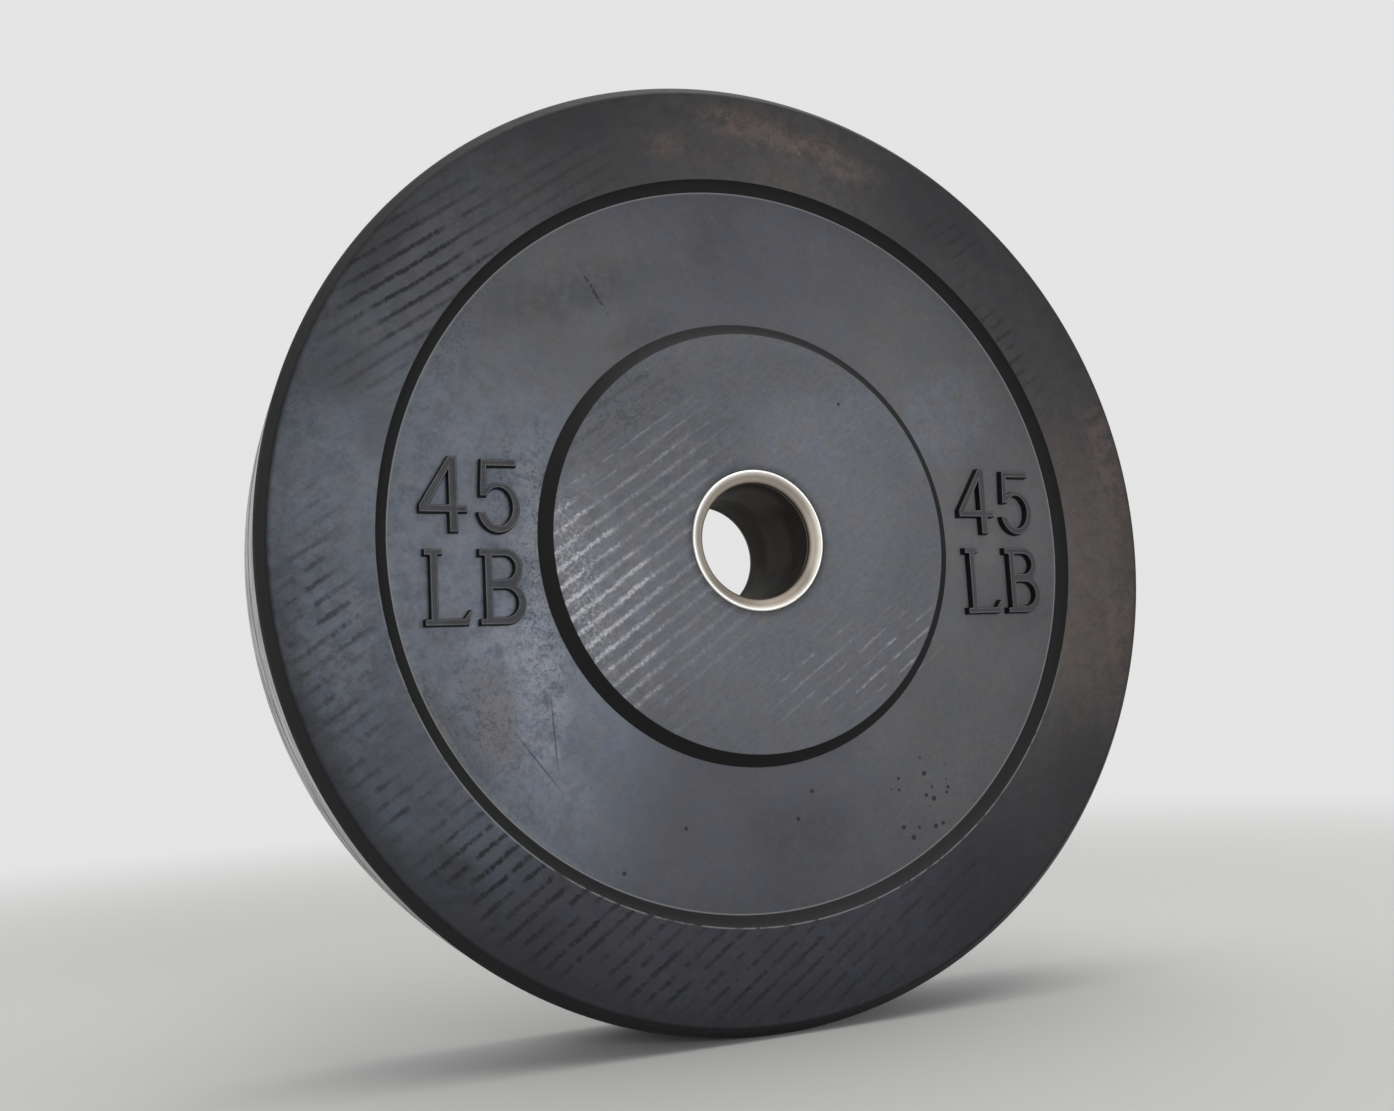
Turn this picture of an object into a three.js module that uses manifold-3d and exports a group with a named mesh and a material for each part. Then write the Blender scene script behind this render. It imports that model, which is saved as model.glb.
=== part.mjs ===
// A rubber bumper plate for a barbell: one thick moulded rubber disc round a steel insert.
// Millimetres. The plate stands on its tread, with its axis along Y, its front face towards -Y and +Z up.
// The origin is on the axis, halfway through the plate.

import * as THREE from "three";
import { mergeVertices } from "three/addons/utils/BufferGeometryUtils.js";
import Module from "manifold-3d";

// Driving sizes of the rubber disc
const plateDiameter = 450;
const rimThickness = 73.2; // over the two flat rims
const bevelRun = 5.3; // how far the outer bevel comes in from the tread
const bevelDepth = 6.2; // how far it drops from the rim
const rimWidth = 43.4; // flat ring inside the bevel
const recessDepth = 4.4; // rim down to the recessed middle ring
const recessWallRun = 5.1; // sloped wall between the two
const hubFaceDiameter = 198.6;
const hubWallRun = 6;
const hubRise = 5.2; // middle ring up to the hub face
const ringSeatBevel = 0.7; // broken edge of the rubber round the lip ring

// Driving sizes of the raised weight marks
const markHeight = 34;
const markRise = 3.5;
const markDraft = 0.5; // how far the sides of a mark lean in
const markRoot = 1.5; // how deep a mark reaches into the disc before it is joined
const markPlaceShare = 0.451; // group centre, across the width of the middle ring

// Driving sizes of the steel insert
const boreDiameter = 54.8;
const sleeveWall = 3.1;
const sleeveEdgeBreak = 0.4;
const flangeDiameter = 160;
const flangeThickness = 5;
const flangeHoleDiameter = 16;
const flangeHoleCircle = 116;
const flangeHoleCount = 8;
const weldLeg = 4;

// Driving sizes of a lip ring, the bright collar at each end of the bore
const ringWidth = 6.1; // edge of the bore out to the ring's rim
const ringProud = 0.6; // top of its bead above the hub face
const ringLeadDepth = 4.9; // top of the bead down to the sharp edge of the bore
const ringLandDepth = 0.5; // straight stretch under that edge
const ringSkirtDepth = 6; // reach of the skirt over the sleeve

// Gap that any two touching pieces keep
const clearance = 0.3;

// Facets round the disc, round the steel parts and round a flange hole
const discFacets = 96;
const steelFacets = 48;
const holeFacets = 16;
const arcSteps = 10;

// Places that follow from the driving sizes: radii from the axis, levels from the middle of the plate
const treadRadius = plateDiameter / 2;
const rimOuterRadius = treadRadius - bevelRun;
const rimInnerRadius = rimOuterRadius - rimWidth;
const middleOuterRadius = rimInnerRadius - recessWallRun;
const hubFaceRadius = hubFaceDiameter / 2;
const middleInnerRadius = hubFaceRadius + hubWallRun;
const rimLevel = rimThickness / 2;
const treadEdgeLevel = rimLevel - bevelDepth;
const middleLevel = rimLevel - recessDepth;
const hubLevel = middleLevel + hubRise;
const markPlace = middleInnerRadius + (middleOuterRadius - middleInnerRadius) * markPlaceShare;
const boreRadius = boreDiameter / 2;
const sleeveRadius = boreRadius + sleeveWall;
const ringRadius = boreRadius + ringWidth;
const ringTopLevel = hubLevel + ringProud;
const boreEdgeLevel = ringTopLevel - ringLeadDepth;
const ringLandLevel = boreEdgeLevel - ringLandDepth;
const sleeveEndLevel = ringLandLevel - clearance;
const skirtEndLevel = ringLandLevel - ringSkirtDepth;
const flangeLevel = flangeThickness / 2;
const flangeRadius = flangeDiameter / 2;
const flangeHoleRadius = flangeHoleDiameter / 2;

const rubber = new THREE.MeshStandardMaterial({ color: 0x3c3d41, roughness: 0.55, metalness: 0 });
const brightSteel = new THREE.MeshStandardMaterial({ color: 0xd2cec6, roughness: 0.3, metalness: 1 });
const darkSteel = new THREE.MeshStandardMaterial({ color: 0x4a4640, roughness: 0.45, metalness: 1 });
const plainSteel = new THREE.MeshStandardMaterial({ color: 0x85878a, roughness: 0.5, metalness: 1 });

const wasm = await Module();
wasm.setup();

// A ring turned about the Y axis. Its corners are [radius, level], counter-clockwise with levels upwards.
function turned(corners, facets) {
  const loop = [...corners, corners[0]].map(([radius, level]) => new THREE.Vector2(radius, level));
  return new THREE.LatheGeometry(loop, facets, Math.PI / facets);
}

// Both halves of an outline that is alike in front and behind, from the corners of its rear half
function bothHalves(rearCorners) {
  const frontCorners = rearCorners.map(([radius, level]) => [radius, -level]).reverse();
  return [...rearCorners, ...frontCorners];
}

function toSolid(geometry) {
  const bare = geometry.clone();
  bare.deleteAttribute("normal");
  bare.deleteAttribute("uv");
  const merged = mergeVertices(bare);
  return new wasm.Manifold(
    new wasm.Mesh({
      numProp: 3,
      vertProperties: new Float32Array(merged.attributes.position.array),
      triVerts: new Uint32Array(merged.index.array),
    }),
  );
}

function toGeometry(solid) {
  const mesh = solid.getMesh();
  const geometry = new THREE.BufferGeometry();
  geometry.setAttribute("position", new THREE.BufferAttribute(mesh.vertProperties, 3));
  geometry.setIndex(new THREE.BufferAttribute(mesh.triVerts, 1));
  geometry.computeVertexNormals();
  return geometry;
}

function circlePoints(centreX, centreY, radius, facets) {
  return Array.from({ length: facets }, (_, i) => {
    const angle = (2 * Math.PI * (i + 1 / 2)) / facets;
    return new THREE.Vector2(centreX + radius * Math.cos(angle), centreY + radius * Math.sin(angle));
  });
}

// Calls place(x, z) at the centre of each hole of the anchor flange
function atFlangeHoles(place) {
  return Array.from({ length: flangeHoleCount }, (_, i) => {
    const angle = (2 * Math.PI * i) / flangeHoleCount;
    return place((flangeHoleCircle / 2) * Math.cos(angle), (flangeHoleCircle / 2) * Math.sin(angle));
  });
}

// Points along an ellipse, as shares of a mark's width and height, between two shares of a full turn
function arcShares([centreXShare, centreYShare], [halfXShare, halfYShare], startShare, endShare) {
  return Array.from({ length: arcSteps + 1 }, (_, i) => {
    const angle = 2 * Math.PI * (startShare + ((endShare - startShare) * i) / arcSteps);
    return [centreXShare + halfXShare * Math.cos(angle), centreYShare + halfYShare * Math.sin(angle)];
  });
}

// The raised marks: plain numerals and a plain unit. Each outline and its counters are shares of the mark's
// own width and height, which are shares of markHeight, as is its place from the middle of the group.
const marks = [
  {
    sizeShares: [0.63, 1],
    placeShares: [-0.672, 0.097],
    outlineShares: [
      [0, 0.255], [0.6, 0.255], [0.6, 0], [0.81, 0], [0.81, 0.255], [1, 0.255],
      [1, 0.36], [0.81, 0.36], [0.81, 1], [0.61, 1], [0, 0.37],
    ],
    counterShares: [[[0.6, 0.375], [0.6, 0.77], [0.245, 0.375]]],
  },
  {
    sizeShares: [0.585, 0.982],
    placeShares: [0.062, 0.085],
    outlineShares: [
      ...arcShares([0.5025, 0.344], [0.4975, 0.344], -0.477, 0.327),
      [0.28, 0.888], [0.935, 0.888], [0.935, 1], [0.11, 1], [0.066, 0.49],
      ...arcShares([0.5025, 0.362], [0.2915, 0.2425], 0.412, -0.455),
    ],
    counterShares: [],
  },
  {
    sizeShares: [0.618, 0.988],
    placeShares: [-0.63, -1.087],
    outlineShares: [
      [0, 0], [0.919, 0], [1, 0.214], [0.924, 0.214], [0.81, 0.11], [0.31, 0.107], [0.31, 0.908],
      [0.405, 0.908], [0.405, 1], [0, 1], [0, 0.902], [0.119, 0.902], [0.119, 0.107], [0, 0.101],
    ],
    counterShares: [],
  },
  {
    sizeShares: [0.62, 0.988],
    placeShares: [0.068, -1.087],
    outlineShares: [
      [0, 0], ...arcShares([0.592, 0.28], [0.408, 0.28], -0.25, 0.151),
      ...arcShares([0.569, 0.732], [0.37, 0.268], -0.1255, 0.25),
      [0, 1], [0, 0.89], [0.114, 0.89], [0.114, 0.101], [0, 0.092],
    ],
    counterShares: [
      [...arcShares([0.5355, 0.747], [0.213, 0.142], -0.25, 0.25), [0.306, 0.889], [0.306, 0.605]],
      [...arcShares([0.54, 0.29], [0.261, 0.172], -0.25, 0.25), [0.306, 0.462], [0.306, 0.118]],
    ],
  },
];

// One raised mark, extruded from inside the disc to its full rise, with sides that lean in
function markGeometry({ sizeShares, placeShares, outlineShares, counterShares }) {
  const toPoint = ([xShare, yShare]) =>
    new THREE.Vector2(
      markHeight * (placeShares[0] + sizeShares[0] * xShare),
      markHeight * (placeShares[1] + sizeShares[1] * yShare),
    );
  const shape = new THREE.Shape(outlineShares.map(toPoint));
  shape.holes = counterShares.map((counter) => new THREE.Path(counter.map(toPoint)));
  return new THREE.ExtrudeGeometry(shape, {
    depth: markRoot,
    steps: 1,
    bevelEnabled: true,
    bevelSegments: 1,
    bevelThickness: markRise,
    bevelSize: markDraft,
    bevelOffset: -markDraft,
  });
}

// The marks of one face: a group on its left and a group on its right, set upright on the middle ring.
// A turn of half a circle about Z carries the front face's marks to the rear face.
function faceMarks(faceTurn) {
  return [-markPlace, markPlace].flatMap((groupPlace) =>
    marks.map((mark) =>
      markGeometry(mark)
        .rotateX(Math.PI / 2)
        .translate(groupPlace, markRoot - middleLevel, 0)
        .rotateZ(faceTurn),
    ),
  );
}

// The moulded rubber: tread, bevels, rims, recessed rings, hub faces, seats for the steel and the marks
function rubberGeometry() {
  const seatRadius = ringRadius + clearance;
  const cavityRadius = sleeveRadius + clearance;
  const slotLevel = flangeLevel + clearance;
  const weldRelief = weldLeg + 2 * clearance;
  const disc = turned(
    bothHalves([
      [treadRadius, treadEdgeLevel],
      [rimOuterRadius, rimLevel],
      [rimInnerRadius, rimLevel],
      [middleOuterRadius, middleLevel],
      [middleInnerRadius, middleLevel],
      [hubFaceRadius, hubLevel],
      [seatRadius + ringSeatBevel, hubLevel],
      [seatRadius, hubLevel - ringSeatBevel],
      [seatRadius, skirtEndLevel - clearance],
      [cavityRadius, skirtEndLevel - clearance],
      [cavityRadius, slotLevel + weldRelief],
      [cavityRadius + weldRelief, slotLevel],
      [flangeRadius + clearance, slotLevel],
    ]),
    discFacets,
  );
  const plugRadius = flangeHoleRadius - clearance;
  const plugLength = flangeThickness + 2 * flangeHoleRadius;
  const plugs = atFlangeHoles((x, z) =>
    new THREE.CylinderGeometry(plugRadius, plugRadius, plugLength, holeFacets).translate(x, 0, z),
  );
  const additions = [...plugs, ...faceMarks(0), ...faceMarks(Math.PI)];
  return toGeometry(additions.reduce((solid, piece) => solid.add(toSolid(piece)), toSolid(disc)));
}

// The tube that lines the bore
function sleeveGeometry() {
  return turned(
    bothHalves([
      [sleeveRadius, sleeveEndLevel],
      [boreRadius + sleeveEdgeBreak, sleeveEndLevel],
      [boreRadius, sleeveEndLevel - sleeveEdgeBreak],
    ]),
    steelFacets,
  );
}

// The disc on the sleeve's middle that the rubber grips, with holes that the rubber flows through
function flangeGeometry() {
  const shape = new THREE.Shape(circlePoints(0, 0, flangeRadius, steelFacets));
  shape.holes = [
    new THREE.Path(circlePoints(0, 0, sleeveRadius + clearance, steelFacets)),
    ...atFlangeHoles((x, z) => new THREE.Path(circlePoints(x, z, flangeHoleRadius, holeFacets))),
  ];
  return new THREE.ExtrudeGeometry(shape, { depth: flangeThickness, steps: 1, bevelEnabled: false })
    .rotateX(Math.PI / 2)
    .translate(0, flangeLevel, 0);
}

// The fillet of weld between the sleeve and the rear of the flange
function weldGeometry() {
  const heelRadius = sleeveRadius + clearance;
  const heelLevel = flangeLevel + clearance;
  return turned(
    [
      [heelRadius, heelLevel],
      [heelRadius + weldLeg, heelLevel],
      [heelRadius, heelLevel + weldLeg],
    ],
    steelFacets,
  );
}

// The rear lip ring: a skirt over the sleeve's end, a round bead, and a lead-in down to the bore
function ringGeometry() {
  const leadShares = [
    [1, 0.12],
    [0.9, 0],
    [0.77, 0.07],
    [0.15, 0.6],
    [0, 1],
  ]; // across the ring's width from the bore, and down its lead-in
  const lead = leadShares.map(([acrossShare, downShare]) => [
    boreRadius + ringWidth * acrossShare,
    ringTopLevel - ringLeadDepth * downShare,
  ]);
  return turned(
    [
      [ringRadius, skirtEndLevel],
      ...lead,
      [boreRadius, ringLandLevel],
      [sleeveRadius + clearance, ringLandLevel],
      [sleeveRadius + clearance, skirtEndLevel],
    ],
    steelFacets,
  );
}

// A named sub-part. A turn of half a circle about Z carries a rear piece to the front.
function subPart(name, geometry, material, turn = 0) {
  const mesh = new THREE.Mesh(geometry, material);
  mesh.name = name;
  mesh.rotation.z = turn;
  return mesh;
}

const plate = new THREE.Group();
plate.add(
  subPart("rubber_body", rubberGeometry(), rubber),
  subPart("insert_sleeve", sleeveGeometry(), darkSteel),
  subPart("anchor_flange", flangeGeometry(), plainSteel),
  subPart("rear_weld_bead", weldGeometry(), plainSteel),
  subPart("front_weld_bead", weldGeometry(), plainSteel, Math.PI),
  subPart("rear_lip_ring", ringGeometry(), brightSteel),
  subPart("front_lip_ring", ringGeometry(), brightSteel, Math.PI),
);

export default plate;
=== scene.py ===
# A rubber bumper plate for a barbell: fine surfaces, materials, light and camera round its solids.
# Metres, in the frame of the solids: the plate stands on its tread, its axis along Y, its front
# towards -Y and +Z up. Sizes are written in millimetres and turned into metres where a mesh is made.

import math

import bmesh
import bpy
from mathutils import Matrix, Vector
from mathutils.geometry import tessellate_polygon


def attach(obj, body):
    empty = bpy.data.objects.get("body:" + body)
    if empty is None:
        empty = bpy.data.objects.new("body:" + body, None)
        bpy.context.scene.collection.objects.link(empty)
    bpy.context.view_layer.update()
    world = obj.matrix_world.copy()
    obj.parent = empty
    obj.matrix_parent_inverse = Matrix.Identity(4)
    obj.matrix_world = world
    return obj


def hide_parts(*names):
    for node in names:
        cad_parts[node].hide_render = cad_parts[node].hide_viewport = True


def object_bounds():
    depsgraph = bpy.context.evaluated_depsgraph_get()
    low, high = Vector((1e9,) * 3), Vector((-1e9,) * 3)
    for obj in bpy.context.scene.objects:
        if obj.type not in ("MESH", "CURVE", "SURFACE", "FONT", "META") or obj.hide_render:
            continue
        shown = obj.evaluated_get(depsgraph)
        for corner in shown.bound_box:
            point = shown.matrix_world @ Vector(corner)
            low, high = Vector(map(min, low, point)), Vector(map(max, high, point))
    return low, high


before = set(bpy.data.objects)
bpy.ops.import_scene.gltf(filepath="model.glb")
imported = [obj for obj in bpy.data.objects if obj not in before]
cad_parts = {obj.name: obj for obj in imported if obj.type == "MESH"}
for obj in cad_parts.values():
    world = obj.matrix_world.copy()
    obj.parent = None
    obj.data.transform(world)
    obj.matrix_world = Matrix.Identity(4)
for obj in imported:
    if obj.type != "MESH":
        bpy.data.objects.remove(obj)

cad_low, cad_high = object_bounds()

MM = 0.001

# Picture, pixels
IMAGE_WIDTH = 1394

# Camera, millimetres and degrees: its place, its turn to the right of +Y, its upward pitch and its roll
CAMERA_PLACE = (-256.63, -588.87, -80.98)
CAMERA_TURN = 22.186
CAMERA_PITCH = 7.063
CAMERA_ROLL = -3.088
CAMERA_SENSOR = 36
FOCAL_PIXELS = 1308.3
CAMERA_NEAR = 0.01
CAMERA_FAR = 50

# Rubber disc
PLATE_RADIUS = 225
TREAD_RADIUS = 224.74
RIM_LEVEL = 36.6
BEVEL_RUN = 5.3
BEVEL_DEPTH = 6.2
RIM_WIDTH = 43.4
RECESS_DEPTH = 4.4
RECESS_WALL_RUN = 5.1
HUB_FACE_RADIUS = 99.3
HUB_WALL_RUN = 6
HUB_RISE = 5.2
SEAT_BEVEL = 0.25
SEAT_GAP = 0.1
PARTING_RISE = 0.13
PARTING_HALF_WIDTH = 0.45
PARTING_TOP_SHARE = 1 / 3

# Fillets of the disc
TREAD_FILLET = 1.2
RIM_FILLET = 2.6
RECESS_EDGE_FILLET = 0.5
RECESS_FOOT_FILLET = 0.35
HUB_FOOT_FILLET = 0.5
HUB_FILLET = 0.7
SEAT_FILLET = 0.15

RIM_OUTER_RADIUS = PLATE_RADIUS - BEVEL_RUN
RIM_INNER_RADIUS = RIM_OUTER_RADIUS - RIM_WIDTH
MIDDLE_OUTER_RADIUS = RIM_INNER_RADIUS - RECESS_WALL_RUN
MIDDLE_INNER_RADIUS = HUB_FACE_RADIUS + HUB_WALL_RUN
TREAD_EDGE_LEVEL = RIM_LEVEL - BEVEL_DEPTH
MIDDLE_LEVEL = RIM_LEVEL - RECESS_DEPTH
HUB_LEVEL = MIDDLE_LEVEL + HUB_RISE

# Steel insert
CLEARANCE = 0.3
BORE_RADIUS = 27.4
SLEEVE_RADIUS = 30.5
SLEEVE_EDGE_BREAK = 0.4
FLANGE_RADIUS = 80
FLANGE_LEVEL = 2.5
FLANGE_HOLE_RADIUS = 8
FLANGE_HOLE_CIRCLE_RADIUS = 58
FLANGE_HOLE_COUNT = 8
PLUG_OVERRUN = 2
WELD_LEG = 4
RING_RADIUS = 33.5
RING_PROUD = 0.6
RING_LEAD_DEPTH = 4.9
RING_LAND_DEPTH = 0.5
RING_SKIRT_DEPTH = 6
RING_SKIRT_FILLET = 0.3

# Mouth of a collar, from its outer edge over its bead and down its cone: shares of its width, inwards
# from outside, and of the depth of its lead-in, with the fillet at each point
RING_MOUTH_SHARES = [(1, 0.11), (0.89, 0), (0.76, 0.07), (0, 0.68), (0, 1)]
RING_MOUTH_FILLETS = [0.3, 0.5, 0.6, 1.5, 0]

RING_TOP_LEVEL = HUB_LEVEL + RING_PROUD
RING_LAND_LEVEL = RING_TOP_LEVEL - RING_LEAD_DEPTH - RING_LAND_DEPTH
SLEEVE_END_LEVEL = RING_LAND_LEVEL - CLEARANCE
SKIRT_END_LEVEL = RING_LAND_LEVEL - RING_SKIRT_DEPTH

# Raised marks
MARK_HEIGHT = 34
MARK_RISE = 3.5
MARK_DISH = 0.2
MARK_PLACE = 135.04

# Fineness of the meshes
DISC_SEGMENTS = 384
STEEL_SEGMENTS = 192
PLUG_SEGMENTS = 24
FLOOR_SEGMENTS = 96
FILLET_STEPS = 5
ARC_STEPS = 24
SUPPORT_GAP = 0.25
LONG_SIDE = 1
SHARP_ANGLE = 32


def make_camera():
    data = bpy.data.cameras.new("camera")
    data.sensor_width = CAMERA_SENSOR
    data.lens = FOCAL_PIXELS * CAMERA_SENSOR / IMAGE_WIDTH
    data.clip_start = CAMERA_NEAR
    data.clip_end = CAMERA_FAR
    camera = bpy.data.objects.new("camera", data)
    bpy.context.scene.collection.objects.link(camera)
    turn = Matrix.Rotation(math.radians(-CAMERA_TURN), 4, "Z")
    pitch = Matrix.Rotation(math.radians(90 + CAMERA_PITCH), 4, "X")
    roll = Matrix.Rotation(math.radians(CAMERA_ROLL), 4, "Z")
    camera.matrix_world = Matrix.Translation(Vector(CAMERA_PLACE) * MM) @ turn @ pitch @ roll
    bpy.context.scene.camera = camera


# Corner rounding: points of an arc that touches both sides of a corner
def fillet_points(before, corner, after, radius):
    to_before = (before - corner).normalized()
    to_after = (after - corner).normalized()
    half_angle = to_before.angle(to_after) / 2
    reach = radius / math.tan(half_angle)
    middle = (to_before + to_after).normalized()
    centre = corner + middle * (radius / math.sin(half_angle))
    first = corner + to_before * reach - centre
    last = corner + to_after * reach - centre
    sweep = first.angle_signed(last)
    points = []
    for step in range(FILLET_STEPS + 1):
        turn = -sweep * step / FILLET_STEPS
        cosine, sine = math.cos(turn), math.sin(turn)
        points.append(centre + Vector((first.x * cosine - first.y * sine, first.x * sine + first.y * cosine)))
    return points


# A closed profile of [radius, level] with rounded corners and a support point near each end of a long side
def rounded_profile(corners):
    places = [Vector(corner[:2]) for corner in corners]
    count = len(corners)
    loop = []
    for index, corner in enumerate(corners):
        if corner[2]:
            loop += fillet_points(places[index - 1], places[index], places[(index + 1) % count], corner[2])
        else:
            loop.append(places[index])
    supported = []
    for index, point in enumerate(loop):
        supported.append(point)
        following = loop[(index + 1) % len(loop)]
        side = following - point
        if side.length > LONG_SIDE:
            step = side.normalized() * SUPPORT_GAP
            supported += [point + step, following - step]
    return supported


# Both halves of an outline that is alike in front and behind, from its rear half
def both_halves(rear):
    front = [(radius, -level, fillet) for radius, level, fillet in reversed(rear)]
    return rear + front


# Faces between two loops of vertices with as many vertices each
def add_wall(mesh, lower, upper):
    for index in range(len(lower)):
        following = (index + 1) % len(lower)
        mesh.faces.new((lower[index], lower[following], upper[following], upper[index]))


# A closed ring turned about the Y axis from a closed profile
def turned(name, profile, segments):
    mesh = bmesh.new()
    rings = []
    for segment in range(segments):
        angle = 2 * math.pi * segment / segments
        cosine, sine = math.cos(angle) * MM, math.sin(angle) * MM
        rings.append([mesh.verts.new((point.x * cosine, point.y * MM, point.x * sine)) for point in profile])
    for segment in range(segments):
        add_wall(mesh, rings[segment], rings[(segment + 1) % segments])
    bmesh.ops.recalc_face_normals(mesh, faces=mesh.faces)
    return finished_mesh(name, mesh)


def finished_mesh(name, mesh):
    data = bpy.data.meshes.new(name)
    mesh.to_mesh(data)
    mesh.free()
    return data


def placed(name, data):
    piece = bpy.data.objects.new(name, data)
    bpy.context.scene.collection.objects.link(piece)
    return piece


# Points along an ellipse, as shares of a mark's width and height, between two shares of a full turn
def arc_shares(centre_share, half_share, start_share, end_share):
    points = []
    for step in range(ARC_STEPS + 1):
        angle = 2 * math.pi * (start_share + (end_share - start_share) * step / ARC_STEPS)
        across, up = half_share[0] * math.cos(angle), half_share[1] * math.sin(angle)
        points.append((centre_share[0] + across, centre_share[1] + up))
    return points


# The raised marks: plain numerals and a plain unit. Each holds its place from the middle of the group and
# its size as shares of MARK_HEIGHT, then its outline and its counters as shares of its own size.
MARK_SHARES = [
    (
        (-0.672, 0.097), (0.63, 1),
        [
            (0, 0.255), (0.6, 0.255), (0.6, 0), (0.81, 0), (0.81, 0.255), (1, 0.255),
            (1, 0.36), (0.81, 0.36), (0.81, 1), (0.61, 1), (0, 0.37),
        ],
        [(0.6, 0.375), (0.6, 0.77), (0.245, 0.375)],
    ),
    (
        (0.062, 0.085), (0.585, 0.982),
        [
            *arc_shares((0.5025, 0.344), (0.4975, 0.344), -0.477, 0.327),
            (0.28, 0.888), (0.935, 0.888), (0.935, 1), (0.11, 1), (0.066, 0.49),
            *arc_shares((0.5025, 0.362), (0.2915, 0.2425), 0.412, -0.455),
        ],
    ),
    (
        (-0.63, -1.087), (0.618, 0.988),
        [
            (0, 0), (0.919, 0), (1, 0.214), (0.924, 0.214), (0.81, 0.11), (0.31, 0.107), (0.31, 0.908),
            (0.405, 0.908), (0.405, 1), (0, 1), (0, 0.902), (0.119, 0.902), (0.119, 0.107), (0, 0.101),
        ],
    ),
    (
        (0.068, -1.087), (0.62, 0.988),
        [
            (0, 0), *arc_shares((0.592, 0.28), (0.408, 0.28), -0.25, 0.151),
            *arc_shares((0.569, 0.732), (0.37, 0.268), -0.1255, 0.25),
            (0, 1), (0, 0.89), (0.114, 0.89), (0.114, 0.101), (0, 0.092),
        ],
        [*arc_shares((0.5355, 0.747), (0.213, 0.142), -0.25, 0.25), (0.306, 0.889), (0.306, 0.605)],
        [*arc_shares((0.54, 0.29), (0.261, 0.172), -0.25, 0.25), (0.306, 0.462), (0.306, 0.118)],
    ),
]

# Side of a raised mark, from its sunk root to its flat top: how far it leans in, and its height
MARK_SIDE = [
    (0, -0.5), (0, 0.15), (0.3, 3), (0.36, 3.25), (0.48, 3.42), (0.64, MARK_RISE), (0.92, MARK_RISE),
    (1.3, MARK_RISE - MARK_DISH),
]


def twice_area(loop):
    return sum(a.x * b.y - b.x * a.y for a, b in zip(loop, loop[1:] + loop[:1]))


# A closed loop moved sideways into its own material by a distance, with sharp corners kept
def inset(loop, distance):
    moved = []
    for index, corner in enumerate(loop):
        arriving = (corner - loop[index - 1]).normalized()
        leaving = (loop[(index + 1) % len(loop)] - corner).normalized()
        inward = Vector((-arriving.y, arriving.x))
        inward_next = Vector((-leaving.y, leaving.x))
        moved.append(corner + (inward + inward_next) * (distance / (1 + inward.dot(inward_next))))
    return moved


# The loops of one mark in millimetres: its outline turns counter-clockwise and its counters clockwise
def mark_loops(mark_shares, group_place):
    place_share, size_share, *loops_shares = mark_shares
    loops = []
    for shares in loops_shares:
        loop = [
            Vector((
                group_place + MARK_HEIGHT * (place_share[0] + size_share[0] * across),
                MARK_HEIGHT * (place_share[1] + size_share[1] * up),
            ))
            for across, up in shares
        ]
        clockwise = bool(loops)
        loops.append(loop[::-1] if (twice_area(loop) < 0) != clockwise else loop)
    return loops


# Adds one raised mark to a mesh. The facing is 1 for the front face and -1 for the rear one.
def add_mark(mesh, mark_shares, group_place, facing):
    loops = mark_loops(mark_shares, group_place)
    layers = []
    for lean, height in MARK_SIDE:
        level = MIDDLE_LEVEL + height
        moved = [inset(loop, lean) for loop in loops]
        layers.append([
            [mesh.verts.new((facing * p.x * MM, -facing * level * MM, p.y * MM)) for p in loop]
            for loop in moved
        ])
    for lower, upper in zip(layers, layers[1:]):
        for below, above in zip(lower, upper):
            add_wall(mesh, below, above)
    for layer in (layers[0], layers[-1]):
        flat = [vert for loop in layer for vert in loop]
        outlines = [[Vector((vert.co.x, vert.co.z, 0)) for vert in loop] for loop in layer]
        for triangle in tessellate_polygon(outlines):
            mesh.faces.new([flat[corner] for corner in triangle])


def marks_mesh():
    mesh = bmesh.new()
    for facing in (1, -1):
        for group_place in (-MARK_PLACE, MARK_PLACE):
            for mark_shares in MARK_SHARES:
                add_mark(mesh, mark_shares, group_place, facing)
    bmesh.ops.recalc_face_normals(mesh, faces=mesh.faces)
    return finished_mesh("marks", mesh)


# The rubber plugs that fill the holes of the anchor flange
def plugs_mesh():
    mesh = bmesh.new()
    radius = (FLANGE_HOLE_RADIUS - CLEARANCE) * MM
    length = 2 * (FLANGE_LEVEL + PLUG_OVERRUN) * MM
    for hole in range(FLANGE_HOLE_COUNT):
        angle = 2 * math.pi * hole / FLANGE_HOLE_COUNT
        centre = Vector((math.cos(angle), 0, math.sin(angle))) * (FLANGE_HOLE_CIRCLE_RADIUS * MM)
        place = Matrix.Translation(centre) @ Matrix.Rotation(math.pi / 2, 4, "X")
        bmesh.ops.create_cone(
            mesh, cap_ends=True, segments=PLUG_SEGMENTS, radius1=radius, radius2=radius, depth=length,
            matrix=place,
        )
    return finished_mesh("plugs", mesh)


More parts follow.
